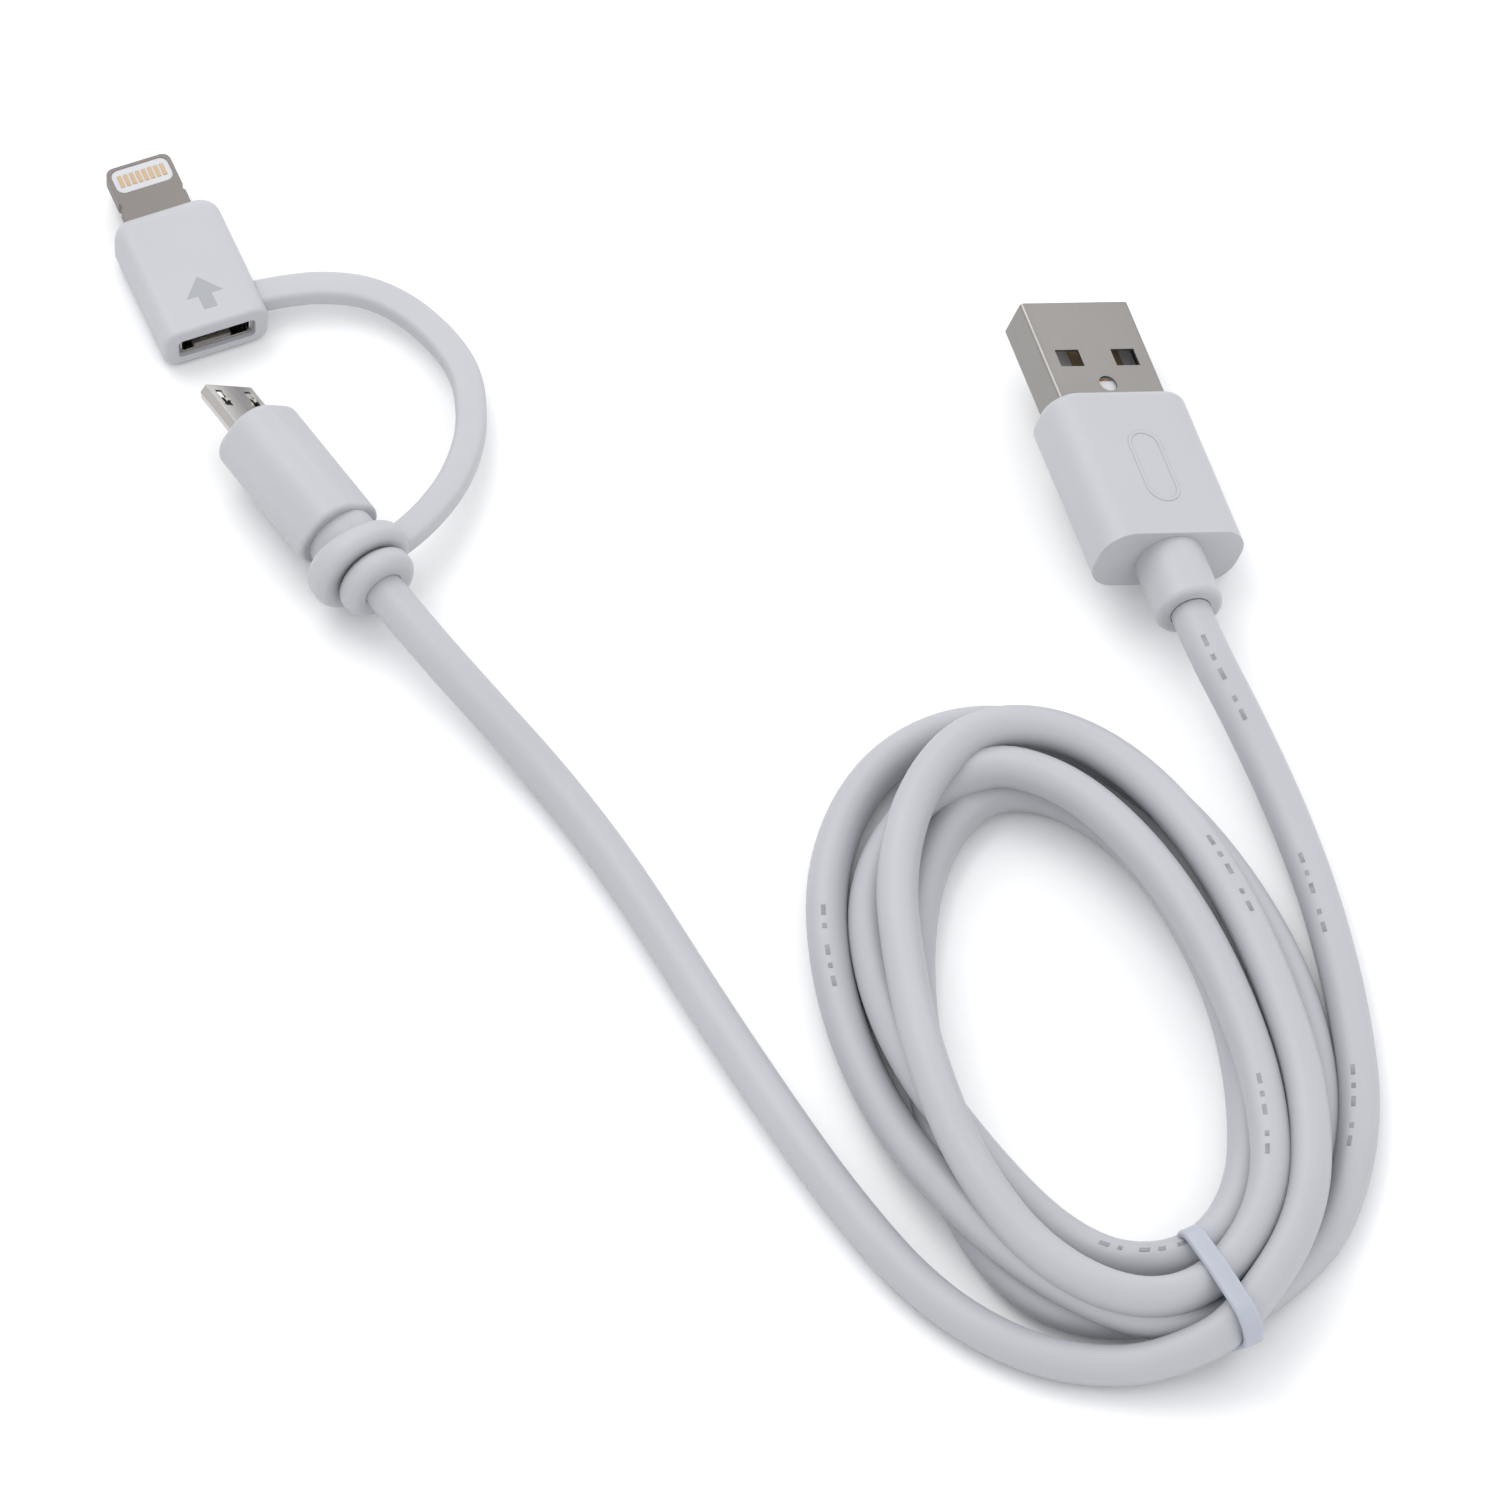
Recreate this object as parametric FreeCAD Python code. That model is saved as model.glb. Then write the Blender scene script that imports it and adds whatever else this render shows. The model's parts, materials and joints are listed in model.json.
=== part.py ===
import FreeCAD, Part
import math
import os

# Two-in-one charging cable: USB-A plug, white cord wound into a tied oval coil, micro-USB plug,
# and an 8-pin adapter held on a soft strap whose collar turns on the micro plug's neck.
# Millimetres, +Z up, floor at z = 0. The origin is the bottom centre of the box round the two
# plugs and the adapter. Each plug is modelled in its own frame, X across, Y towards its tip and
# Z up through its broad face, then rolled about Y, turned about Z and moved into place.

Vector = FreeCAD.Vector

# ---- places: origin, heading (degrees left of +Y) and roll (degrees, right side down) ----
USB_AT, USB_HEADING, USB_ROLL = Vector(47.7, -21.3, 5.75), 18.6, 22.0
MICRO_AT, MICRO_HEADING, MICRO_ROLL = Vector(-28.8, -24.7, 5.15), 33.4, 40.0
ADAPTER_AT, ADAPTER_HEADING = Vector(-45.3, 7.8, 2.5), 21.1

# ---- cord ----
CORD_D = 4.1
REST_Z = CORD_D / 2
USB_LEAD = [(48.34, -23.2, 5.75), (51.02, -31.15, 5.75), (55.1, -39.6, 3.9), (59.3, -49.5, REST_Z),
            (62.6, -60.5, REST_Z), (65.1, -73.0, REST_Z), (66.3, -85.5, REST_Z),
            (64.2, -97.0, REST_Z), (60.4, -103.2, REST_Z), (56.6, -106.3, REST_Z)]
MICRO_LEAD = [(-30.45, -22.2, 5.15), (-26.0, -28.95, 5.15), (-19.4, -36.8, 3.4),
              (-12.2, -45.6, REST_Z), (-5.4, -56.5, REST_Z), (0.8, -68.6, REST_Z),
              (8.0, -82.0, REST_Z), (15.8, -95.6, REST_Z), (24.2, -107.3, REST_Z),
              (34.6, -114.7, REST_Z), (43.6, -115.6, REST_Z), (52.0, -111.5, REST_Z)]
COIL_CENTRE = Vector(38.8, -75.3, 0)
COIL_TILT = -73.5                       # direction of the long axis, degrees from +X
COIL_HOLE = (26.2, 12.5)                # half axes of the hole
COIL_OUTER = (40.7, 23.4)               # half axes of the outside
COIL_HEIGHT = 8.4
TIE_AT, TIE_HEADING = Vector(51.8, -105.4, 0), -61.0
TIE_WIDTH, TIE_WALL, TIE_LENGTH = 2.2, 0.9, 17.0

# ---- USB-A plug: standard shell 12.0 x 4.5 ----
USB_SHELL_W, USB_SHELL_T, USB_WALL = 12.0, 4.5, 0.3
USB_BODY_W, USB_BODY_T, USB_BODY_L = 15.8, 7.8, 18.5
USB_SHELL_OUT, USB_SHELL_IN = 12.4, 5.0
USB_TIP = USB_BODY_L + USB_SHELL_OUT
RELIEF_D, RELIEF_L = 6.9, 6.8
USB_CONTACT_X = (-3.5, -1.0, 1.0, 3.5)

# ---- micro-USB plug: standard shell 6.85 x 1.8 ----
BEAD_D, BEAD_L = 8.0, 2.6
GROOVE_D, GROOVE_END = 6.0, 5.5
NECK_D, NECK_END = 7.0, 7.9
MICRO_BODY_W, MICRO_BODY_T, MICRO_BODY_END = 8.8, 7.8, 23.1
MICRO_TIP = 28.7
MICRO_PITCH = 0.65
LATCH_X = 2.15
LATCH_ROOT_Y, LATCH_L, LATCH_W = 24.0, 3.8, 0.56

# ---- tether ----
COLLAR_D, COLLAR_BORE, COLLAR_W = 10.2, 6.3, 2.6
STRAP_W, STRAP_T = 3.1, 2.0
STRAP_Z0 = 1.5
STRAP_BEND = Vector(-20.9, -0.6, 0)     # the point where the strap flexes most
STRAP_R_ADAPTER, STRAP_R_COLLAR = 14.4, 17.4
STRAP_GAP = 0.1
STRAP_RISE = 7.0                        # slope of the collar half, up to the plug's axis

# ---- 8-pin adapter: standard tongue 6.7 x 1.5 ----
ADAPTER_W, ADAPTER_T, ADAPTER_L, ADAPTER_R = 11.0, 5.0, 15.6, 1.6
TONGUE_W, TONGUE_T, TONGUE_OUT, TONGUE_R = 6.7, 1.5, 7.0, 0.9
ADAPTER_CORNER, ADAPTER_REAR_ROUND = 2.1, 0.45
PAD_PITCH, PAD_W, PAD_L, PAD_T = 0.63, 0.4, 1.4, 0.06
SOCKET_W, SOCKET_T, SOCKET_WALL = 7.0, 1.95, 0.2


# ---------------------------------------------------------------- helpers
def box(x0, x1, y0, y1, z0, z1):
    return Part.makeBox(x1 - x0, y1 - y0, z1 - z0, Vector(x0, y0, z0))


def rod(diameter, y0, y1, x=0.0, z=0.0):
    return Part.makeCylinder(diameter / 2, y1 - y0, Vector(x, y0, z), Vector(0, 1, 0))


def slab(width, thick, radius, y0, y1, x=0.0, z=0.0):
    """A bar along Y whose section is a rectangle with round corners."""
    bar = box(x - width / 2, x + width / 2, y0, y1, z - thick / 2, z + thick / 2)
    along = [e for e in bar.Edges if abs(e.tangentAt(e.FirstParameter).y) > 0.99]
    return bar.makeFillet(radius, along)


def profile_bar(points, y0, y1):
    """A bar along Y with a polygon section, given as (x, z) points."""
    corners = [Vector(x, y0, z) for x, z in points]
    face = Part.Face(Part.makePolygon(corners + corners[:1]))
    return face.extrude(Vector(0, y1 - y0, 0))


def round_front(shape, y, radius):
    """Rounds the edges of the face that lies at this y."""
    rim = [e for e in shape.Edges if all(abs(v.Y - y) < 1e-6 for v in e.Vertexes)]
    return shape.makeFillet(radius, rim)


def placed(shape, at, heading, roll=0.0):
    out = shape.copy()
    out.rotate(Vector(0, 0, 0), Vector(0, 1, 0), roll)
    out.rotate(Vector(0, 0, 0), Vector(0, 0, 1), heading)
    out.translate(at)
    return out


def tube(points, diameter, name):
    """A round cord along straight runs joined by tangent arcs as large as the runs allow."""
    places = [Vector(*p) for p in points]
    edges, radii, start = [], [], places[0]
    for before, corner, after in zip(places, places[1:], places[2:]):
        run_in, run_out = corner - before, after - corner
        turn = run_in.getAngle(run_out)
        cut = 0.45 * min(run_in.Length, run_out.Length)
        radii.append(cut / math.tan(turn / 2))
        arc_start = corner - run_in * (cut / run_in.Length)
        arc_end = corner + run_out * (cut / run_out.Length)
        to_centre = (arc_start + arc_end) / 2 - corner
        reach = math.hypot(radii[-1], cut)
        middle = corner + to_centre * ((reach - radii[-1]) / to_centre.Length)
        edges.append(Part.LineSegment(start, arc_start).toShape())
        edges.append(Part.Arc(arc_start, middle, arc_end).toShape())
        start = arc_end
    edges.append(Part.LineSegment(start, places[-1]).toShape())
    path = Part.Wire(edges)
    ring = Part.Wire(Part.makeCircle(diameter / 2, places[0], places[1] - places[0]))
    pipe = Part.BRepOffsetAPI.MakePipeShell(path)
    pipe.add(ring)
    pipe.build()
    pipe.makeSolid()
    solid = pipe.shape()
    expected = math.pi * diameter ** 2 / 4 * path.Length
    print(name, "length %.1f" % path.Length, "volume ratio %.4f" % (solid.Volume / expected),
          "radii", [round(r, 1) for r in radii])
    return solid


# ---------------------------------------------------------------- USB-A plug
def usb_envelope():
    return slab(USB_SHELL_W, USB_SHELL_T, 0.4, USB_BODY_L - USB_SHELL_IN, USB_TIP)


def usb_shell():
    inner_w, inner_t = USB_SHELL_W - 2 * USB_WALL, USB_SHELL_T - 2 * USB_WALL
    inside = slab(inner_w, inner_t, 0.15, USB_BODY_L - USB_SHELL_IN - 1, USB_TIP + 1)
    shell = usb_envelope().cut(inside)
    for x in (-3.1, 3.1):
        window = box(x - 1.3, x + 1.3, USB_BODY_L + 4.3, USB_BODY_L + 6.4, -3, 3)
        shell = shell.cut(window)
    dimple = Part.makeCylinder(0.95, 2, Vector(0, USB_BODY_L + 2.05, 1), Vector(0, 0, 1))
    return shell.cut(dimple)


def usb_contact(x):
    length = 7.4 if abs(x) > 2 else 6.4
    top = USB_TIP - 0.9 - (7.4 - length)
    strip = box(x - 0.5, x + 0.5, 11.0, top, -0.06, 0.22)
    return strip


def usb_insulator():
    back, front = 13.6, USB_TIP - 0.7
    half = USB_SHELL_W / 2 - USB_WALL - 0.1
    tongue = box(-half, half, back, front, -1.9, -0.06)
    block = box(-half, half, back, USB_BODY_L + 2.6, -0.06, 1.9)
    insulator = tongue.fuse(block).removeSplitter()
    for x in USB_CONTACT_X:
        insulator = insulator.cut(usb_contact(x))
    return insulator


def usb_wire(x):
    return rod(1.0, 2.0, 11.0, x, 0.08)


def usb_inner_mold():
    mold = slab(13.0, 5.2, 1.2, 1.6, 12.9)
    for x in USB_CONTACT_X:
        mold = mold.cut(usb_wire(x)).cut(usb_contact(x))
    return mold.cut(rod(CORD_D + 0.04, 1.0, 2.0))


def usb_overmold():
    body = slab(USB_BODY_W, USB_BODY_T, 3.2, 0, USB_BODY_L)
    body = round_front(body, USB_BODY_L, 0.9)
    body = body.cut(slab(13.0, 5.2, 1.2, 1.6, 12.9))
    body = body.cut(usb_envelope()).cut(box(-5.9, 5.9, 12.8, 13.6, -2.2, 2.2))
    return body.cut(rod(CORD_D + 0.04, -1, 1.7))


def usb_strain_relief():
    relief = rod(RELIEF_D, -RELIEF_L, 0)
    rim = [e for e in relief.Edges if all(abs(v.Y + RELIEF_L) < 1e-6 for v in e.Vertexes)]
    relief = relief.makeFillet(0.6, [e for e in rim if e.Closed])
    return relief.cut(rod(CORD_D + 0.04, -RELIEF_L - 1, 1))


# ---------------------------------------------------------------- micro-USB plug
def micro_profile(grow):
    half, low, top, base = 3.425 + grow, 2.6 + grow * 0.6, 0.9 + grow, -0.9 - grow
    return [(-half, top), (half, top), (half, -0.1), (low, base), (-low, base), (-half, -0.1)]


def micro_envelope():
    return profile_bar(micro_profile(0), MICRO_BODY_END - 4, MICRO_TIP)


def micro_shell():
    shell = micro_envelope().cut(profile_bar(micro_profile(-0.25), MICRO_BODY_END - 5, MICRO_TIP + 1))
    for side in (-LATCH_X, LATCH_X):
        slot = box(side - 0.5, side + 0.5, MICRO_TIP - 2.9, MICRO_TIP - 0.7, 0.5, 1.2)
        shell = shell.cut(slot)
    return shell


def micro_contact(index):
    x = (index - 2) * MICRO_PITCH
    return box(x - 0.15, x + 0.15, 18.0, MICRO_TIP - 1.2, -0.35, -0.17)


def micro_insulator():
    inside = profile_bar(micro_profile(-0.27), MICRO_BODY_END - 3.9, MICRO_TIP - 0.6)
    floor = inside.common(box(-4, 4, 19, MICRO_TIP, -1, -0.35))
    block = inside.common(box(-4, 4, 19, 23.6, -1, 1))
    nose = inside.common(box(-1.65, 1.65, 19, 25.4, -1, 1))
    insulator = floor.fuse([block, nose]).removeSplitter()
    for index in range(5):
        insulator = insulator.cut(micro_contact(index))
    return insulator


def micro_latch(side):
    x = side * LATCH_X
    strip = box(x - LATCH_W / 2, x + LATCH_W / 2, LATCH_ROOT_Y, LATCH_ROOT_Y + LATCH_L, 0.15, 0.38)
    hook_back, hook_front = MICRO_TIP - 2.5, MICRO_TIP - 1.1
    hook = Part.Face(Part.makePolygon([
        Vector(x - LATCH_W / 2, hook_back, 0.38), Vector(x - LATCH_W / 2, hook_back, 1.2),
        Vector(x - LATCH_W / 2, hook_back + 0.35, 1.2), Vector(x - LATCH_W / 2, hook_front, 0.38),
        Vector(x - LATCH_W / 2, hook_back, 0.38)])).extrude(Vector(LATCH_W, 0, 0))
    return strip.fuse(hook).removeSplitter()


def micro_wire(x):
    return rod(0.5, 9.6, 18.0, x, -0.26)


def micro_inner_mold():
    mold = slab(6.6, 4.4, 1.0, 9.2, 19.0)
    mold = mold.cut(rod(CORD_D + 0.04, 9.0, 9.6))
    for index in range(5):
        mold = mold.cut(micro_contact(index))
    for x in (-1.3, -0.65, 0.65, 1.3):
        mold = mold.cut(micro_wire(x))
    return mold


def micro_overmold():
    body = slab(MICRO_BODY_W, MICRO_BODY_T, 3.3, NECK_END, MICRO_BODY_END)
    body = round_front(body, MICRO_BODY_END, 0.8)
    body = round_front(body, NECK_END, 0.5)
    body = body.cut(slab(6.6, 4.4, 1.0, 9.2, 19.0))
    body = body.cut(micro_envelope()).cut(box(-3.0, 3.0, 18.9, 19.2, -0.7, 0.7))
    return body.cut(rod(CORD_D + 0.04, NECK_END - 1, 9.3))


def micro_neck():
    """Bead, groove for the collar, and the neck below the overmould, moulded in one."""
    bead = rod(BEAD_D, 0, BEAD_L)
    rims = [e for e in bead.Edges if e.Closed]
    bead = bead.makeFillet(1.1, rims)
    groove = rod(GROOVE_D, BEAD_L - 0.3, GROOVE_END + 0.3)
    neck = rod(NECK_D, GROOVE_END, NECK_END)
    whole = bead.fuse([groove, neck]).removeSplitter()
    return whole.cut(rod(CORD_D + 0.04, -1, NECK_END + 1))


# ---------------------------------------------------------------- tether
def arc_band(centre, radius, from_deg, sweep_deg):
    """A flat strap bent on edge round a vertical axis, at the strap's height."""
    base = Vector(centre.x, centre.y, STRAP_Z0)
    outer = Part.makeCylinder(radius + STRAP_W / 2, STRAP_T, base, Vector(0, 0, 1), sweep_deg)
    inner = Part.makeCylinder(radius - STRAP_W / 2, STRAP_T, base, Vector(0, 0, 1), 360)
    band = outer.cut(inner)
    band.rotate(base, Vector(0, 0, 1), from_deg)
    return band


def straight_band(start, end):
    """A straight stretch of strap between two points of its centre line, with round ends."""
    run = end - start
    bar = Part.makeBox(run.Length, STRAP_W, STRAP_T, Vector(0, -STRAP_W / 2, 0))
    bar.rotate(Vector(0, 0, 0), Vector(0, 0, 1), math.degrees(math.atan2(run.y, run.x)))
    bar.translate(Vector(start.x, start.y, STRAP_Z0))
    knee = Part.makeCylinder(STRAP_W / 2, STRAP_T, Vector(start.x, start.y, STRAP_Z0))
    return bar.fuse(knee)


def bend_disc(radius, low, high):
    at = Vector(STRAP_BEND.x, STRAP_BEND.y, STRAP_Z0 + low)
    return Part.makeCylinder(radius, high - low, at)


def tether_collar():
    """Collar in the neck's groove with the near half of the strap."""
    middle = (BEAD_L + GROOVE_END) / 2
    ring = rod(COLLAR_D, middle - COLLAR_W / 2, middle + COLLAR_W / 2)
    ring = ring.makeFillet(0.9, [e for e in ring.Edges if e.Closed])
    ring = placed(ring, MICRO_AT, MICRO_HEADING, MICRO_ROLL)
    centre = STRAP_BEND - Vector(STRAP_R_COLLAR, 0, 0)
    sweep = 47.0
    knee = centre + Vector(math.cos(math.radians(-sweep)), math.sin(math.radians(-sweep)), 0) * STRAP_R_COLLAR
    band = arc_band(centre, STRAP_R_COLLAR, -sweep, sweep)
    root = straight_band(knee, Vector(-28.4, -19.6, 0))
    half = STRAP_T / 2
    slope = band.fuse(root)
    slope.rotate(STRAP_BEND + Vector(0, 0, STRAP_Z0 + half), Vector(1, 0, 0), -STRAP_RISE)
    strap = slope.cut(bend_disc(STRAP_W / 2 + 0.35, half - STRAP_GAP / 2, STRAP_T))
    strap = strap.fuse(bend_disc(STRAP_W / 2, 0, half - STRAP_GAP / 2))
    clear = placed(rod(NECK_D + 0.6, GROOVE_END, NECK_END + 0.1), MICRO_AT, MICRO_HEADING, MICRO_ROLL)
    body = placed(rod(MICRO_BODY_W + 1.4, NECK_END - 0.3, MICRO_BODY_END), MICRO_AT, MICRO_HEADING)
    bore = placed(rod(COLLAR_BORE, 0, 9), MICRO_AT, MICRO_HEADING, MICRO_ROLL)
    return ring.fuse(strap.cut(clear).cut(body)).cut(bore).removeSplitter()


def tether_strap():
    """The far half of the strap, moulded on to the adapter's side."""
    centre = STRAP_BEND - Vector(STRAP_R_ADAPTER, 0, 0)
    band = arc_band(centre, STRAP_R_ADAPTER, 0, 90)
    top = centre + Vector(0, STRAP_R_ADAPTER, 0)
    side = placed(Part.Vertex(ADAPTER_W / 2 - 1.0, 3.6, 0), ADAPTER_AT, ADAPTER_HEADING).Point
    root = straight_band(top, Vector(side.x, side.y, 0))
    half = STRAP_T / 2
    strap = band.fuse(root).cut(bend_disc(STRAP_W / 2 + 0.35, 0, half + STRAP_GAP / 2))
    strap = strap.fuse(bend_disc(STRAP_W / 2, half + STRAP_GAP / 2, STRAP_T))
    return strap.cut(placed(adapter_outside(), ADAPTER_AT, ADAPTER_HEADING)).removeSplitter()


# ---------------------------------------------------------------- adapter
def adapter_core():
    return box(-4.6, 4.6, 0.7, 14.0, -1.75, 1.75)


def adapter_outside():
    """A flat bar with round corners in plan and soft edges all round, but a flat rear face."""
    half_w, half_t = ADAPTER_W / 2, ADAPTER_T / 2
    bar = box(-half_w, half_w, -1.2, ADAPTER_L, -half_t, half_t)
    bar = bar.makeFillet(ADAPTER_CORNER, [e for e in bar.Edges if e.BoundBox.ZLength > 1])
    bar = bar.makeFillet(ADAPTER_R, [e for e in bar.Edges if e.BoundBox.ZLength < 1e-6])
    bar = bar.cut(box(-half_w - 1, half_w + 1, -2, 0, -half_t - 1, half_t + 1))
    return round_front(bar, 0, ADAPTER_REAR_ROUND)


def adapter_body():
    body = adapter_outside().cut(adapter_core())
    body = body.cut(slab(8.0, 2.5, 0.5, -1, 1.0))
    return body.cut(box(-TONGUE_W / 2, TONGUE_W / 2, 13, ADAPTER_L + 1, -TONGUE_T / 2, TONGUE_T / 2))


def tongue_plan(width, front, radius, thick, back):
    """A flat bar along Y with its two front corners rounded in plan."""
    bar = box(-width / 2, width / 2, back, front, -thick / 2, thick / 2)
    corners = [e for e in bar.Edges if all(abs(v.Y - front) < 1e-6 for v in e.Vertexes)
               and abs(e.Vertexes[0].Z - e.Vertexes[1].Z) > 0.1]
    return bar.makeFillet(radius, corners)


def insert_window():
    front = ADAPTER_L + TONGUE_OUT - 0.35
    window = box(-2.95, 2.95, front - 2.9, front, -1, 1)
    corners = [e for e in window.Edges if abs(e.Vertexes[0].Z - e.Vertexes[1].Z) > 1.5]
    return window.makeFillet(0.85, corners)


def tongue_frame():
    frame = tongue_plan(TONGUE_W, ADAPTER_L + TONGUE_OUT, TONGUE_R, TONGUE_T, 13.0)
    frame = frame.cut(insert_window())
    frame = frame.cut(box(-2.2, 2.2, 12.0, ADAPTER_L + TONGUE_OUT - 3.0, -0.3, 0.3))
    for side in (-1, 1):
        notch = Part.makeCylinder(0.5, 2, Vector(side * (TONGUE_W / 2 + 0.32), ADAPTER_L + 2.4, -1))
        frame = frame.cut(notch)
    return frame


def pad_box(index, side):
    x = (index - 3.5) * PAD_PITCH
    y = ADAPTER_L + TONGUE_OUT - 1.8
    face = side * (TONGUE_T / 2 - 0.01)
    low, high = sorted((face, face - side * PAD_T))
    return box(x - PAD_W / 2, x + PAD_W / 2, y - PAD_L / 2, y + PAD_L / 2, low, high)


def contact_insert():
    half = TONGUE_T / 2 - 0.06
    insert = insert_window().common(box(-4, 4, 15, 25, -half, half))
    for index in range(8):
        insert = insert.cut(pad_box(index, 1)).cut(pad_box(index, -1))
    return insert


def back_pads():
    return Part.Compound([pad_box(index, -1) for index in range(8)])


def circuit_board():
    return box(-3.6, 3.6, 6.3, 12.9, -0.3, 0.3).fuse(box(-2.15, 2.15, 12.9, 18.0, -0.28, 0.28))


def chip():
    return box(-1.4, 1.4, 8.4, 10.6, 0.3, 1.0)


def socket_shell():
    outer_w, outer_t = SOCKET_W + 2 * SOCKET_WALL, SOCKET_T + 2 * SOCKET_WALL
    outer = slab(outer_w, outer_t, 0.45, 0.5, 6.0)
    return outer.cut(slab(SOCKET_W, SOCKET_T, 0.25, -1, 7.0))


def socket_contact(index):
    x = (index - 2) * MICRO_PITCH
    return box(x - 0.14, x + 0.14, 1.7, 6.6, -0.48, -0.32)


def socket_tongue():
    blade = box(-1.9, 1.9, 1.4, 5.2, -0.32, 0.3)
    block = box(-3.4, 3.4, 5.2, 6.2, -0.95, 0.95)
    tongue = blade.fuse(block).removeSplitter()
    for index in range(5):
        tongue = tongue.cut(socket_contact(index))
    return tongue


def adapter_inner_mold():
    mold = adapter_core().cut(slab(SOCKET_W + 0.42, SOCKET_T + 0.42, 0.45, 0, 6.05))
    mold = mold.cut(box(-3.4, 3.4, 6.0, 6.25, -0.97, 0.97)).cut(circuit_board()).cut(chip())
    for index in range(5):
        mold = mold.cut(socket_contact(index))
    return mold.cut(box(-TONGUE_W / 2, TONGUE_W / 2, 13.0, 15.0, -TONGUE_T / 2, TONGUE_T / 2))


# ---------------------------------------------------------------- coil and tie
def oval(half_axes, height):
    """An upright oval slab centred on the coil."""
    curve = Part.Ellipse(Vector(0, 0, 0), half_axes[0], half_axes[1])
    slab_shape = Part.Face(Part.Wire(curve.toShape())).extrude(Vector(0, 0, height))
    slab_shape.rotate(Vector(0, 0, 0), Vector(0, 0, 1), COIL_TILT)
    slab_shape.translate(COIL_CENTRE)
    return slab_shape


def tie_bar(length, width, low, high):
    bar = Part.makeBox(length, width, high - low, Vector(-length / 2, -width / 2, low))
    bar.rotate(Vector(0, 0, 0), Vector(0, 0, 1), TIE_HEADING)
    bar.translate(TIE_AT)
    return bar


def cord_coil():
    """The outer shape of the tied turns: an oval ring two cords high."""
    ring = oval(COIL_OUTER, COIL_HEIGHT)
    rims = [e for e in ring.Edges if e.Closed]
    ring = ring.makeFillet(1.6, rims)
    ring = ring.cut(oval(COIL_HOLE, COIL_HEIGHT + 1))
    return ring.cut(tie_bar(TIE_LENGTH + 4, TIE_WIDTH + 0.2, -1, TIE_WALL + 0.05))


def coil_tie():
    inner_length = TIE_LENGTH - 2 * TIE_WALL
    outer = tie_bar(TIE_LENGTH, TIE_WIDTH, 0, COIL_HEIGHT + 0.1 + TIE_WALL)
    opening = tie_bar(inner_length, TIE_WIDTH + 1, TIE_WALL, COIL_HEIGHT + 0.1)
    return outer.cut(opening)


# ---------------------------------------------------------------- nodes
def usb_nodes():
    nodes = {"usb_a_shell": usb_shell(), "usb_a_insulator": usb_insulator(),
             "usb_a_inner_mold": usb_inner_mold(), "usb_a_overmold": usb_overmold(),
             "usb_a_strain_relief": usb_strain_relief()}
    for number, x in enumerate(USB_CONTACT_X, 1):
        nodes["usb_a_contact_%d" % number] = usb_contact(x)
        nodes["usb_a_wire_%d" % number] = usb_wire(x)
    return {name: placed(s, USB_AT, USB_HEADING, USB_ROLL) for name, s in nodes.items()}


def micro_nodes():
    nodes = {"micro_shell": micro_shell(), "micro_insulator": micro_insulator(),
             "micro_inner_mold": micro_inner_mold(), "micro_overmold": micro_overmold(),
             "micro_neck": micro_neck(),
             "micro_latch_left": micro_latch(-1), "micro_latch_right": micro_latch(1)}
    for index in range(5):
        nodes["micro_contact_%d" % (index + 1)] = micro_contact(index)
    for number, x in enumerate((-1.3, -0.65, 0.65, 1.3), 1):
        nodes["micro_wire_%d" % number] = micro_wire(x)
    return {name: placed(s, MICRO_AT, MICRO_HEADING, MICRO_ROLL) for name, s in nodes.items()}


def adapter_nodes():
    nodes = {"adapter_body": adapter_body(), "adapter_inner_mold": adapter_inner_mold(),
             "adapter_tongue_frame": tongue_frame(), "adapter_contact_insert": contact_insert(),
             "adapter_back_pads": back_pads(), "adapter_board": circuit_board(),
             "adapter_chip": chip(), "adapter_socket_shell": socket_shell(),
             "adapter_socket_tongue": socket_tongue()}
    for index in range(8):
        nodes["adapter_pad_%d" % (index + 1)] = pad_box(index, 1)
    for index in range(5):
        nodes["adapter_socket_contact_%d" % (index + 1)] = socket_contact(index)
    return {name: placed(s, ADAPTER_AT, ADAPTER_HEADING) for name, s in nodes.items()}


def cord_nodes():
    return {"cord_lead_usb": tube(USB_LEAD, CORD_D, "usb lead"),
            "cord_lead_micro": tube(MICRO_LEAD, CORD_D, "micro lead"),
            "cord_coil": cord_coil(), "coil_tie": coil_tie()}


def build():
    nodes = {"tether_collar": tether_collar(), "tether_strap": tether_strap()}
    for group in (usb_nodes(), micro_nodes(), adapter_nodes(), cord_nodes()):
        nodes.update(group)
    os.makedirs("parts", exist_ok=True)
    hard = FreeCAD.BoundBox()
    for name, shape in nodes.items():
        if not shape.isValid() or shape.Volume <= 0:
            print("not valid:", name)
        shape.exportStep("parts/%s.step" % name)
        if not name.startswith(("cord_", "coil_")):
            hard.add(shape.BoundBox)
    print(len(nodes), "nodes; plugs and adapter from",
          [round(v, 2) for v in (hard.XMin, hard.YMin, hard.ZMin)], "to",
          [round(v, 2) for v in (hard.XMax, hard.YMax, hard.ZMax)])


build()
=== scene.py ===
import bpy
import bmesh
import json
import math
from mathutils import Vector, Matrix

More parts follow.
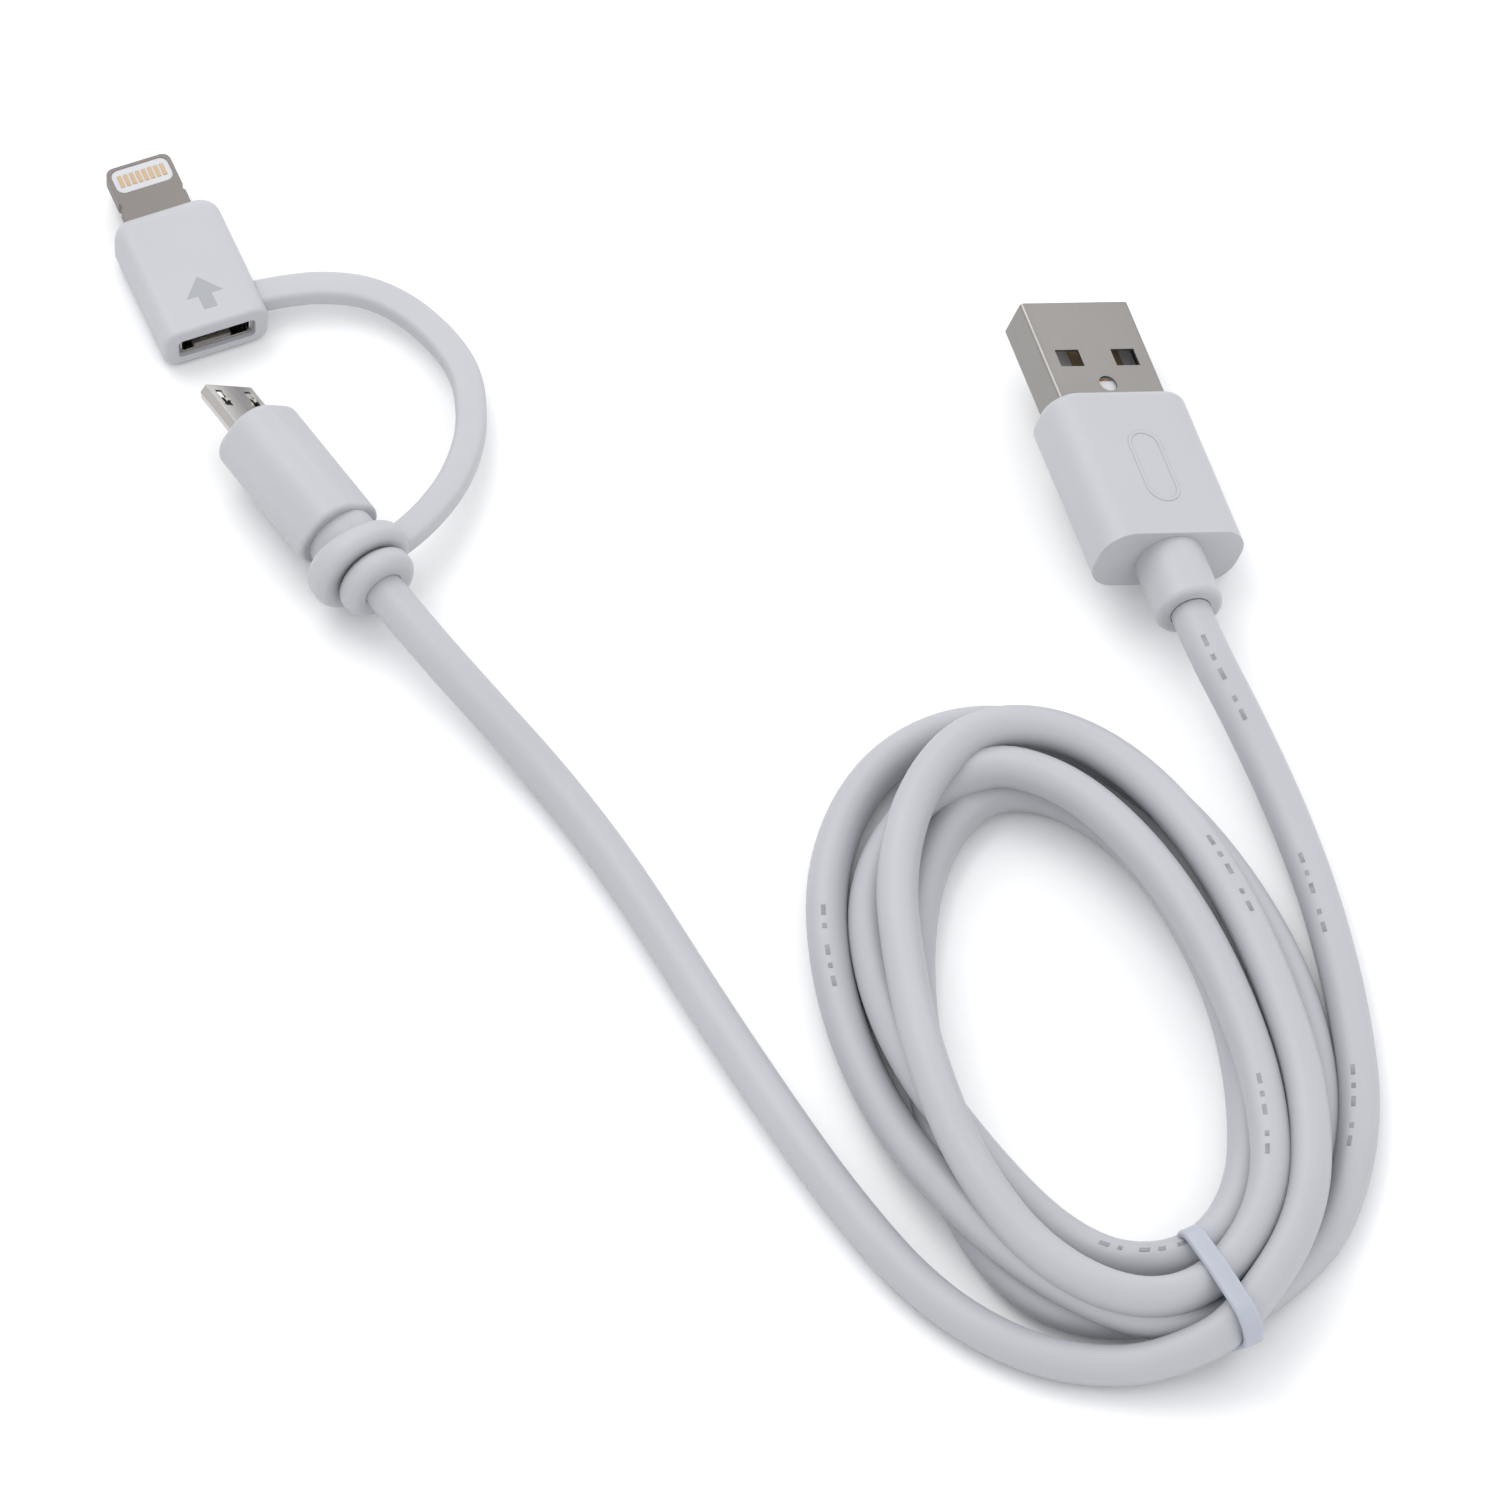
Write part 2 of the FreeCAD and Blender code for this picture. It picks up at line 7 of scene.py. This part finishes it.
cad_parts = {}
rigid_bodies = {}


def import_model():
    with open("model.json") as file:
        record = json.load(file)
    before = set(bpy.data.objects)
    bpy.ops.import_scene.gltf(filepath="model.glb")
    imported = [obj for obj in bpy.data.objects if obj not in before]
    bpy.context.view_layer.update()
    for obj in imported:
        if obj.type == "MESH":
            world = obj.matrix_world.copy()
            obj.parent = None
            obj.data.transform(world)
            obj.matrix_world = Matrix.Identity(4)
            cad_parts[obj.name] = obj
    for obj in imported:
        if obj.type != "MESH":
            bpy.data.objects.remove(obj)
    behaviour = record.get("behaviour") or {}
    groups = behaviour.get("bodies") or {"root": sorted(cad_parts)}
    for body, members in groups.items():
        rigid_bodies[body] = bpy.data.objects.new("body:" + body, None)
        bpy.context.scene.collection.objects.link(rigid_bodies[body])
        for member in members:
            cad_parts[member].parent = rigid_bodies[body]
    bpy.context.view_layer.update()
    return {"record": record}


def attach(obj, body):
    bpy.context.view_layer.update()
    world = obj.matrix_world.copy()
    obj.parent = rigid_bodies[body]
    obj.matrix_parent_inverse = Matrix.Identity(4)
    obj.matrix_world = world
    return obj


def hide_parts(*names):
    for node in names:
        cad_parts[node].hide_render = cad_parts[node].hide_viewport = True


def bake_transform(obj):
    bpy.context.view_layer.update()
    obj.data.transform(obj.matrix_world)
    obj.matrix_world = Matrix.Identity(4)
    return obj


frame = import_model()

MM = 0.001

# ---------------------------------------------------------------- camera, lights and world
ELEVATION = math.radians(54.0)
REACH = 5.0
FRAME_WIDTH = 0.1462  # what the picture spans at the aim, in metres
AIM = Vector((0.0069, -0.0402, 0.0))

cam_data = bpy.data.cameras.new("camera")
cam_data.sensor_width = 36.0
cam_data.lens = cam_data.sensor_width * REACH / FRAME_WIDTH
cam_data.clip_start = 0.05
cam = bpy.data.objects.new("camera", cam_data)
cam.location = AIM + REACH * Vector((0, -math.cos(ELEVATION), math.sin(ELEVATION)))
cam.rotation_euler = (math.pi / 2 - ELEVATION, 0, 0)
bpy.context.collection.objects.link(cam)
bpy.context.scene.camera = cam


def link(name, mesh, body="cable", smooth=True):
    """Put a mesh in the scene as a piece that rides on body, if one is given."""
    obj = bpy.data.objects.new(name, mesh)
    bpy.context.collection.objects.link(obj)
    if smooth:
        for p in mesh.polygons:
            p.use_smooth = True
    if body:
        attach(obj, body)
    return obj


def area_light(name, where, aim, size, power):
    data = bpy.data.lights.new(name, "AREA")
    data.shape = "RECTANGLE"
    data.size, data.size_y = size
    data.energy = power
    obj = bpy.data.objects.new(name, data)
    obj.location = where
    obj.rotation_euler = (Vector(aim) - Vector(where)).to_track_quat("-Z", "Y").to_euler()
    bpy.context.collection.objects.link(obj)


area_light("key", (-0.30, 0.30, 0.70), (0, -0.04, 0), (0.55, 0.55), 2.3)
area_light("fill", (0.60, -0.45, 0.50), (0, -0.04, 0), (0.7, 0.5), 1.0)
area_light("back", (0.10, 0.80, 0.35), (0, 0, 0), (0.8, 0.3), 1.0)

world = bpy.data.worlds.new("studio")
bpy.context.scene.world = world
world.use_nodes = True
world.node_tree.nodes["Background"].inputs["Color"].default_value = (0.97, 0.98, 1.0, 1)
world.node_tree.nodes["Background"].inputs["Strength"].default_value = 1.08
bpy.context.scene.view_settings.view_transform = "Standard"


# ---------------------------------------------------------------- materials
ROUGH_SPREAD = 0.05


def material(name, colour, rough, metallic=0.0, vary=0.03, patch=45, grain=6000, depth=0.000004,
             brushed=None, edge_highlight=None, coat=0.0, soften=0.00012, subsurface=0.0):
    """A node material: slow colour variation, fine grain in the bump and the roughness, edges softened, and
    where a lighter rim colour is given the edges carry a painted highlight in it.  brushed is the heading in
    degrees of a metal's fine lines."""
    mat = bpy.data.materials.new(name)
    mat.use_nodes = True
    nodes, links = mat.node_tree.nodes, mat.node_tree.links
    shader = nodes["Principled BSDF"]
    shader.inputs["Metallic"].default_value = metallic
    shader.inputs["Coat Weight"].default_value = coat
    shader.inputs["Coat Roughness"].default_value = 0.12
    if subsurface:
        shader.inputs["Subsurface Weight"].default_value = subsurface
        shader.inputs["Subsurface Radius"].default_value = (1.0, 0.9, 0.8)
        shader.inputs["Subsurface Scale"].default_value = 0.0006

    def noise(scale, detail, vector):
        node = nodes.new("ShaderNodeTexNoise")
        node.inputs["Scale"].default_value = scale
        node.inputs["Detail"].default_value = detail
        links.new(vector, node.inputs["Vector"])
        return node.outputs["Fac"]

    def ranged(value, low, high):
        node = nodes.new("ShaderNodeMapRange")
        node.inputs["From Min"].default_value = 0.3
        node.inputs["From Max"].default_value = 0.7
        node.inputs["To Min"].default_value = low
        node.inputs["To Max"].default_value = high
        links.new(value, node.inputs["Value"])
        return node.outputs["Result"]

    coords = nodes.new("ShaderNodeTexCoord").outputs["Object"]
    fine = coords
    if brushed is not None:
        turn = nodes.new("ShaderNodeMapping")
        turn.inputs["Rotation"].default_value = (0, 0, math.radians(-brushed))
        links.new(coords, turn.inputs["Vector"])
        stretch = nodes.new("ShaderNodeMapping")
        stretch.inputs["Scale"].default_value = (1.0, 0.03, 1.0)
        links.new(turn.outputs["Vector"], stretch.inputs["Vector"])
        fine = stretch.outputs["Vector"]

    slow = noise(patch, 3, coords)
    ramp = nodes.new("ShaderNodeValToRGB")
    ramp.color_ramp.elements[0].position = 0.3
    ramp.color_ramp.elements[1].position = 0.7
    ramp.color_ramp.elements[0].color = [c * (1 - vary) for c in colour] + [1]
    ramp.color_ramp.elements[1].color = [min(1, c * (1 + vary)) for c in colour] + [1]
    links.new(slow, ramp.inputs["Fac"])
    tint = ramp.outputs["Color"]

    bevel = nodes.new("ShaderNodeBevel")
    bevel.inputs["Radius"].default_value = soften
    # Painted highlight: edges found from the bevel normal are mixed towards the lighter rim colour.
    if edge_highlight:
        flat = nodes.new("ShaderNodeNewGeometry").outputs["Normal"]
        dot = nodes.new("ShaderNodeVectorMath")
        dot.operation = "DOT_PRODUCT"
        links.new(bevel.outputs["Normal"], dot.inputs[0])
        links.new(flat, dot.inputs[1])
        edge = nodes.new("ShaderNodeMapRange")
        edge.inputs["From Min"].default_value = 0.995
        edge.inputs["From Max"].default_value = 0.80
        edge.inputs["To Max"].default_value = 0.7
        links.new(dot.outputs["Value"], edge.inputs["Value"])
        mix = nodes.new("ShaderNodeMix")
        mix.data_type = "RGBA"
        links.new(edge.outputs["Result"], mix.inputs["Factor"])
        links.new(tint, mix.inputs[6])
        mix.inputs[7].default_value = list(edge_highlight) + [1]
        tint = mix.outputs[2]
    links.new(tint, shader.inputs["Base Color"])

    grit = noise(grain, 4, fine)
    links.new(ranged(grit, rough - ROUGH_SPREAD, rough + ROUGH_SPREAD), shader.inputs["Roughness"])
    bump = nodes.new("ShaderNodeBump")
    bump.inputs["Strength"].default_value = 0.5
    bump.inputs["Distance"].default_value = depth
    links.new(grit, bump.inputs["Height"])
    links.new(bevel.outputs["Normal"], bump.inputs["Normal"])
    links.new(bump.outputs["Normal"], shader.inputs["Normal"])
    return mat


USB_HEADING, MICRO_HEADING, ADAPTER_HEADING = 18.6, 33.4, 21.1
WHITE = (0.415, 0.420, 0.442)
MATS = {
    # The lighter colour below is a painted highlight along this plastic's edges.
    "white_plastic": material("white_plastic", WHITE, 0.48, grain=5000, edge_highlight=(0.49, 0.495, 0.515)),
    "cord_jacket": material("cord_jacket", (0.405, 0.410, 0.437), 0.48, grain=3500, depth=0.000006),
    "soft_strap": material("soft_strap", (0.420, 0.425, 0.446), 0.50, grain=4500, soften=0.0002),
    "tie_band": material("tie_band", (0.385, 0.403, 0.463), 0.40, subsurface=0.3),
    "steel_shell": material("steel_shell", (0.268, 0.255, 0.243), 0.38, 1.0, vary=0.05, grain=9000,
                            brushed=USB_HEADING, depth=0.000003, soften=0.00006),
    "steel_tongue": material("steel_tongue", (0.185, 0.170, 0.160), 0.40, 1.0, vary=0.05, grain=9000,
                             brushed=ADAPTER_HEADING, depth=0.000003, soften=0.00008),
    "nickel_shell": material("nickel_shell", (0.46, 0.44, 0.415), 0.16, 1.0, vary=0.04, grain=9000,
                             brushed=MICRO_HEADING, depth=0.000002),
    "gold_contact": material("gold_contact", (0.44, 0.315, 0.195), 0.45, 0.8, vary=0.05, depth=0.000001,
                             soften=0.00003),
    "white_insulator": material("white_insulator", (0.52, 0.52, 0.53), 0.32, coat=0.2, soften=0.00005),
    "inner_mould": material("inner_mould", (0.55, 0.55, 0.53), 0.6),
    "wire_insulation": material("wire_insulation", (0.45, 0.06, 0.05), 0.35),
    "circuit_board": material("circuit_board", (0.04, 0.20, 0.08), 0.4, coat=0.3, vary=0.15, patch=900),
    "chip": material("chip", (0.03, 0.03, 0.03), 0.5),
}
for part in frame["record"]["subparts"]:
    for socket in bpy.data.objects[part["node"]].material_slots:
        socket.material = MATS[part["material_slot"]]

# ---------------------------------------------------------------- the cord, one line end to end
CORD_D = 4.1
REST = CORD_D / 2
USB_EXIT = (49.87, -27.75, 5.75)
MICRO_END = (-29.2, -24.1, 5.15)

# The coil's hole is an oval.  A turn runs anticlockwise from the tie, and each pair below is
# how far it lies outside that oval and how high, every 24 degrees.
COIL_CENTRE = Vector((38.6, -75.4))
COIL_HOLE = (26.1, 12.5)
COIL_TILT = math.radians(-74.8)
STEP = 24
FIRST = 308
SWELL = 1.022
LOW = REST

TURNS = [
    ((54.6, -112.5, 6.4), [(11.4, 6.3), (8.6, 5.9), (6.6, 5.6), (6.3, 5.8), (7.2, 6.0), (8.2, 6.2),
     (7.9, 6.9), (5.6, 6.9), (4.1, 6.3), (2.9, 7.2), (3.8, 9.4), (5.6, 8.6), (8.0, 7.6), (9.9, 7.0)]),
    ((52.2, -108.6, 6.5), [(7.2, 6.1), (4.2, 5.9), (2.2, 6.0), (1.3, 6.2), (1.2, 6.2), (2.2, 6.1),
     (4.3, 5.8), (6.4, 2.2), (7.2, 2.1), (5.6, 3.6), (4.4, 6.4), (2.2, 4.0), (1.5, LOW), (2.7, 2.9)]),
    ((50.3, -104.9, 6.1), [(3.8, 3.4), (2.6, LOW), (2.4, LOW), (2.3, LOW), (2.8, LOW), (3.3, LOW),
     (3.6, LOW), (2.4, LOW), (1.8, LOW), (2.0, LOW), (3.2, LOW), (7.0, LOW), (9.7, LOW), (8.8, LOW)]),
    ((51.2, -106.8, 2.9), [(9.2, LOW), (9.9, LOW), (9.3, LOW), (8.6, LOW), (8.9, LOW), (10.0, LOW),
     (12.0, LOW), (12.6, LOW), (11.6, LOW), (9.6, LOW), (8.2, 2.4), (7.6, 5.0), (8.4, 5.8), (10.2, 4.6)]),
]
TIE_OUT = (53.2, -110.5, 2.9)
USB_LEAD = [USB_EXIT, (51.3, -32.0, 5.7), (55.1, -39.6, 3.9), (59.3, -49.5, LOW), (62.6, -60.5, LOW),
            (65.1, -73.0, LOW), (66.3, -85.5, LOW), (64.2, -97.0, LOW), (60.4, -103.2, LOW)]
MICRO_LEAD = [(50.4, -114.8, 4.7), (43.4, -115.9, 2.4), (34.0, -114.2, LOW), (24.2, -107.3, LOW),
              (15.8, -95.6, LOW), (8.0, -82.0, LOW), (0.8, -68.6, LOW), (-5.4, -56.5, LOW),
              (-12.2, -45.6, LOW), (-19.4, -36.8, 3.4), (-26.0, -28.95, 5.15), MICRO_END]


# Each group of printed dashes: metres along the cord from its exit, and degrees round it.
CORD_PRINTS = [(0.004, 10), (0.030, 20), (0.056, 15), (0.150, -10), (0.290, 15), (0.430, 0), (0.560, 10),
               (0.700, -15)]


def on_turn(angle, out, up):
    along = Vector((math.cos(COIL_TILT), math.sin(COIL_TILT)))
    across = Vector((-along.y, along.x))
    a = math.radians(angle)
    p = (COIL_CENTRE + SWELL * (COIL_HOLE[1] + out) * math.cos(a) * across
         - SWELL * (COIL_HOLE[0] + out) * math.sin(a) * along)
    return (p.x, p.y, up)


coil = []
for tie_point, lanes in TURNS:
    coil.append(tie_point)
    for k, (out, up) in enumerate(lanes):
        coil.append(on_turn(FIRST + STEP * k, out, up))
coil.append(TIE_OUT)
route = USB_LEAD + coil[::-1] + MICRO_LEAD

cord_data = bpy.data.curves.new("cord", "CURVE")
cord_data.dimensions = "3D"
line = cord_data.splines.new("NURBS")
line.points.add(len(route) - 1)
for point, p in zip(line.points, route):
    point.co = (p[0] * MM, p[1] * MM, p[2] * MM, 1.0)
    point.radius = CORD_D / 2 * MM
line.order_u = 3
line.use_endpoint_u = True
line.resolution_u = 8
# Blender adds a point's radius, 1 m unless it is set, to the box of a curve.  So the half
# thickness is the points' radius, and the bevel multiplies it by one.
cord_data.bevel_depth = 1.0
cord_data.bevel_resolution = 6
cord_data.use_fill_caps = True
cord = bpy.data.objects.new("cord", cord_data)
bpy.context.collection.objects.link(cord)
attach(cord, "cable")
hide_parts("cord_lead_usb", "cord_lead_micro", "cord_coil")
cord_data.materials.append(MATS["cord_jacket"])

# ---------------------------------------------------------------- shapes swept along a line
def rounded(width, height, radius, steps=4):
    """Outline of a rounded rectangle about its centre, anticlockwise."""
    pts = []
    for cx, cy, start in ((1, 1, 0), (-1, 1, 90), (-1, -1, 180), (1, -1, 270)):
        for k in range(steps + 1):
            a = math.radians(start + 90 * k / steps)
            pts.append((cx * (width / 2 - radius) + radius * math.cos(a),
                        cy * (height / 2 - radius) + radius * math.sin(a)))
    return pts


def smooth_line(points, per=8):
    """Points on a smooth line through the given ones, in mm."""
    pts = [Vector(p) for p in points]
    pts = [2 * pts[0] - pts[1]] + pts + [2 * pts[-1] - pts[-2]]
    out = []
    for p0, p1, p2, p3 in zip(pts, pts[1:], pts[2:], pts[3:]):
        for k in range(per):
            t = k / per
            out.append(0.5 * (2 * p1 + (p2 - p0) * t + (2 * p0 - 5 * p1 + 4 * p2 - p3) * t * t
                              + (3 * p1 - p0 - 3 * p2 + p3) * t ** 3))
    return out + [pts[-2]]


def join_rings(bm, rings, closed=True):
    """Faces from each ring of vertices to the next, closed into a loop or capped at both ends."""
    for one, two in zip(rings, rings[1:] + (rings[:1] if closed else [])):
        for j in range(len(one)):
            k = (j + 1) % len(one)
            bm.faces.new((one[j], one[k], two[k], two[j]))
    if not closed:
        bm.faces.new(rings[0][::-1])
        bm.faces.new(rings[-1])


def finished(bm, name, body, smooth=True):
    """The piece that the gathered vertices and faces make."""
    bmesh.ops.recalc_face_normals(bm, faces=bm.faces)
    mesh = bpy.data.meshes.new(name)
    bm.to_mesh(mesh)
    bm.free()
    return link(name, mesh, body, smooth)


def sweep(name, path, outline, body):
    """A capped mesh with the outline carried along the path, in mm."""
    bm = bmesh.new()
    rings = []
    for i, p in enumerate(path):
        before, after = path[max(i - 1, 0)], path[min(i + 1, len(path) - 1)]
        along = (after - before).normalized()
        side = along.cross(Vector((0, 0, 1))).normalized()
        top = side.cross(along)
        rings.append([bm.verts.new((p + side * u + top * v) * MM) for u, v in outline])
    join_rings(bm, rings, closed=False)
    return finished(bm, name, body)


def plug_frame(at, heading, roll=0.0):
    """X across the plug, Y to its tip, Z out of its broad face."""
    return (Matrix.Translation(Vector(at)) @ Matrix.Rotation(math.radians(heading), 4, "Z")
            @ Matrix.Rotation(math.radians(roll), 4, "Y"))


USB = plug_frame((47.7, -21.3, 5.75), USB_HEADING, 22.0)
MICRO = plug_frame((-28.8, -24.7, 5.15), MICRO_HEADING, 40.0)
ADAPTER = plug_frame((-45.3, 7.8, 2.5), ADAPTER_HEADING)


def dress(obj, slot, mat=None):
    obj.data.materials.append(mat or MATS[slot])
    return obj


# ---------------------------------------------------------------- the soft strap and its collar
STRAP_SECTION = (3.05, 2.0, 0.55)  # width, height and rounding
strap_line = smooth_line([
    (-41.6, 12.9, 2.5), (-38.6, 13.6, 2.5), (-34.9, 14.0, 2.5), (-30.7, 13.4, 2.5), (-26.8, 11.2, 2.5),
    (-23.3, 7.5, 2.5), (-21.1, 3.4, 2.6), (-20.4, -1.2, 2.8), (-20.7, -5.7, 3.2), (-22.1, -10.4, 3.7),
    (-24.2, -14.4, 4.3), (-26.5, -17.5, 4.8), (-28.6, -19.6, 5.15)])
strap = sweep("tether_band", strap_line, rounded(*STRAP_SECTION), None)
dress(strap, "soft_strap")
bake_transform(strap)
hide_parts("tether_strap", "tether_collar")

COLLAR_BACK, COLLAR_FRONT = 2.68, 5.42
COLLAR_BORE, BORE_EDGE = 3.12, 3.3
COLLAR_OUT, LOBE_OUT, LOBE_FRONT = 5.1, 0.7, 0.35
LOBE_AT = math.radians(205)
BACK_ROUND, FRONT_ROUND = 0.95, 1.3
COLLAR_STEPS = 72


def collar_section(angle):
    """Outline of the collar at this angle round the plug, fuller where its lobe is."""
    lobe = max(0.0, math.cos(angle - LOBE_AT)) ** 2
    outer = COLLAR_OUT + LOBE_OUT * lobe
    chamfer = BORE_EDGE - COLLAR_BORE - 0.03
    pts = [(COLLAR_BORE, COLLAR_BACK + chamfer), (BORE_EDGE, COLLAR_BACK), (outer - BACK_ROUND, COLLAR_BACK)]
    for k in range(1, 9):
        a = math.radians(-90 + 90 * k / 8)
        pts.append((outer - BACK_ROUND + BACK_ROUND * math.cos(a),
                    COLLAR_BACK + BACK_ROUND + BACK_ROUND * math.sin(a)))
    for k in range(1, 9):
        a = math.radians(90 * k / 8)
        pts.append((outer - FRONT_ROUND + FRONT_ROUND * math.cos(a),
                    COLLAR_FRONT - FRONT_ROUND + FRONT_ROUND * math.sin(a) + LOBE_FRONT * lobe))
    return pts + [(BORE_EDGE, COLLAR_FRONT), (COLLAR_BORE, COLLAR_FRONT - chamfer)]


bm = bmesh.new()
rings = []
for k in range(COLLAR_STEPS):
    a = 2 * math.pi * k / COLLAR_STEPS
    rings.append([bm.verts.new(MICRO @ Vector((r * math.cos(a), y, r * math.sin(a))) * MM)
                  for r, y in collar_section(a)])
join_rings(bm, rings)
collar = finished(bm, "tether_ring", "tether")
dress(collar, "soft_strap")

# ---------------------------------------------------------------- the tie round the coil
TIE_MIDDLE = Vector((52.2, -108.6, 0))
TIE_ALONG = Vector((0.47, -0.883, 0))
BAND_SECTION = (2.1, 0.8, 0.38)  # width, thickness and rounding
TIE_STEPS = 72
TIE_REACH = REST + 0.02 + BAND_SECTION[1] / 2
held = [turn[0] for turn in TURNS] + [TIE_OUT]
held = [((Vector(p[:2]) - TIE_MIDDLE.xy).dot(TIE_ALONG.xy), p[2]) for p in held]
hull = []
for k in range(TIE_STEPS):
    a = 2 * math.pi * k / TIE_STEPS
    way = Vector((math.cos(a), math.sin(a)))
    s, z = max(held, key=lambda c: c[0] * way.x + c[1] * way.y)
    hull.append(TIE_MIDDLE + TIE_ALONG * (s + TIE_REACH * way.x) + Vector((0, 0, z + TIE_REACH * way.y)))
across = TIE_ALONG.cross(Vector((0, 0, 1)))
bm = bmesh.new()
rings = []
for i, p in enumerate(hull):
    out = ((hull[(i + 1) % TIE_STEPS] - hull[i - 1]).normalized()).cross(across).normalized()
    rings.append([bm.verts.new((p + across * u + out * v) * MM) for u, v in rounded(*BAND_SECTION)])
join_rings(bm, rings)
tie = finished(bm, "tie_band", "cable")
dress(tie, "tie_band")
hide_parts("coil_tie")
# ---------------------------------------------------------------- printed and moulded marks
ink = material("ink", (0.30, 0.305, 0.33), 0.5, vary=0.04, depth=0.000001, soften=0.00001)
faint_ink = material("faint_ink", (0.235, 0.24, 0.26), 0.5, vary=0.2, patch=900, depth=0.000001,
                     soften=0.00001)


# Above each plug's own middle, in mm.
ADAPTER_TOP, USB_TOP = 2.5, 3.9
LOZENGE_Y = 8.6
INK_THICK = 0.012


def plate(name, outline, matrix, level, hole=None, body="cable", thick=0.03):
    """A thin raised mark on a flat face: the outline in mm, with an inner outline as a hole."""
    bm = bmesh.new()
    loops = [outline] + ([hole] if hole else [])
    lower, upper = ([[bm.verts.new(matrix @ Vector((x, y, z)) * MM) for x, y in loop] for loop in loops]
                    for z in (level - 0.02, level + thick))
    for low, high in zip(lower, upper):
        for j in range(len(low)):
            k = (j + 1) % len(low)
            bm.faces.new((low[j], low[k], high[k], high[j]))
    for rims in (lower, upper):
        if hole:
            for j in range(len(rims[0])):
                k = (j + 1) % len(rims[0])
                bm.faces.new((rims[0][j], rims[0][k], rims[1][k], rims[1][j]))
        else:
            bm.faces.new(rims[0])
    return finished(bm, name, body, smooth=False)


def stadium(width, length, y):
    """A long round-ended outline along Y, centred at y."""
    r = width / 2
    turns = [(math.radians(180 * k / 10), 1) for k in range(11)]
    turns += [(math.radians(180 + 180 * k / 10), -1) for k in range(11)]
    return [(r * math.cos(a), y + side * (length / 2 - r) + r * math.sin(a)) for a, side in turns]


arrow = [(0.15, 6.05), (-1.75, 3.75), (-0.55, 3.75), (-0.55, 2.05), (0.85, 2.05), (0.85, 3.75), (2.05, 3.75)]
dress(plate("printed_arrow", arrow, ADAPTER, ADAPTER_TOP, body="adapter", thick=INK_THICK),
      "white_plastic", ink)
dress(plate("moulded_lozenge", stadium(3.6, 9.0, LOZENGE_Y), USB, USB_TOP,
            hole=stadium(2.9, 8.3, LOZENGE_Y), thick=0.05), "white_plastic")


DASHES = (1.2, 0.6, 1.2, 0.0, 0.6, 1.2)  # lengths in mm, and 0 leaves a longer gap
DASH_GAP = 1.0
DASH_STEPS = 4
# Across the dash and out of the jacket: three points on top, and two sunk into it.
DASH_SECTION = ((-0.22, INK_THICK), (0.0, INK_THICK), (0.22, INK_THICK), (0.22, -0.04), (-0.22, -0.04))


def cord_line():
    """Points of the cord's own line, in metres, from the exit on, with the length up to each."""
    bare = cord_data.copy()
    bare.bevel_depth = 0.0
    bare_object = bpy.data.objects.new("bare", bare)
    mesh = bpy.data.meshes.new_from_object(bare_object)
    points = [v.co.copy() for v in mesh.vertices]
    bpy.data.objects.remove(bare_object)
    bpy.data.meshes.remove(mesh)
    bpy.data.curves.remove(bare)
    lengths = [0.0]
    for p, q in zip(points, points[1:]):
        lengths.append(lengths[-1] + (q - p).length)
    return points, lengths


LINE, LENGTHS = cord_line()


def on_line(s):
    """Place and direction on the cord's line, s metres from its exit."""
    k = 1
    while k < len(LENGTHS) - 1 and LENGTHS[k] < s:
        k += 1
    t = (s - LENGTHS[k - 1]) / (LENGTHS[k] - LENGTHS[k - 1])
    return LINE[k - 1].lerp(LINE[k], t), (LINE[k] - LINE[k - 1]).normalized()


def dashes(start, turn):
    """A group of plain printed dashes along the cord, turned round it by turn degrees."""
    bm = bmesh.new()
    s = start
    for size in DASHES:
        rings = []
        for j in range(DASH_STEPS + 1 if size else 0):
            p, along = on_line(s + size * MM * j / DASH_STEPS)
            side = along.cross(Vector((0, 0, 1))).normalized()
            top = side.cross(along)
            ring = []
            for w, r in DASH_SECTION:
                a = math.radians(turn) + w / REST
                ring.append(bm.verts.new(p + (side * math.sin(a) + top * math.cos(a)) * (REST + r) * MM))
            rings.append(ring)
        if rings:
            join_rings(bm, rings, closed=False)
        s += (size + DASH_GAP) * MM
    return dress(finished(bm, "cord_print_%03d" % round(start * 1000), "cable", smooth=False),
                 "cord_jacket", faint_ink)


prints = [dashes(start, turn) for start, turn in CORD_PRINTS]

# ---------------------------------------------------------------- floor
floor_mesh = bpy.data.meshes.new("floor")
FLOOR_HALF, FLOOR_Z = 3, -0.0002
floor_mesh.from_pydata([(x * FLOOR_HALF, y * FLOOR_HALF, FLOOR_Z)
                        for x, y in ((-1, -1), (1, -1), (1, 1), (-1, 1))], [], [(0, 1, 2, 3)])
floor = link("floor", floor_mesh, body=None, smooth=False)
floor_mat = bpy.data.materials.new("floor")
floor_mat.use_nodes = True
floor_shader = floor_mat.node_tree.nodes["Principled BSDF"]
floor_shader.inputs["Base Color"].default_value = (0.9, 0.9, 0.9, 1)
floor_shader.inputs["Roughness"].default_value = 0.6
floor_mesh.materials.append(floor_mat)
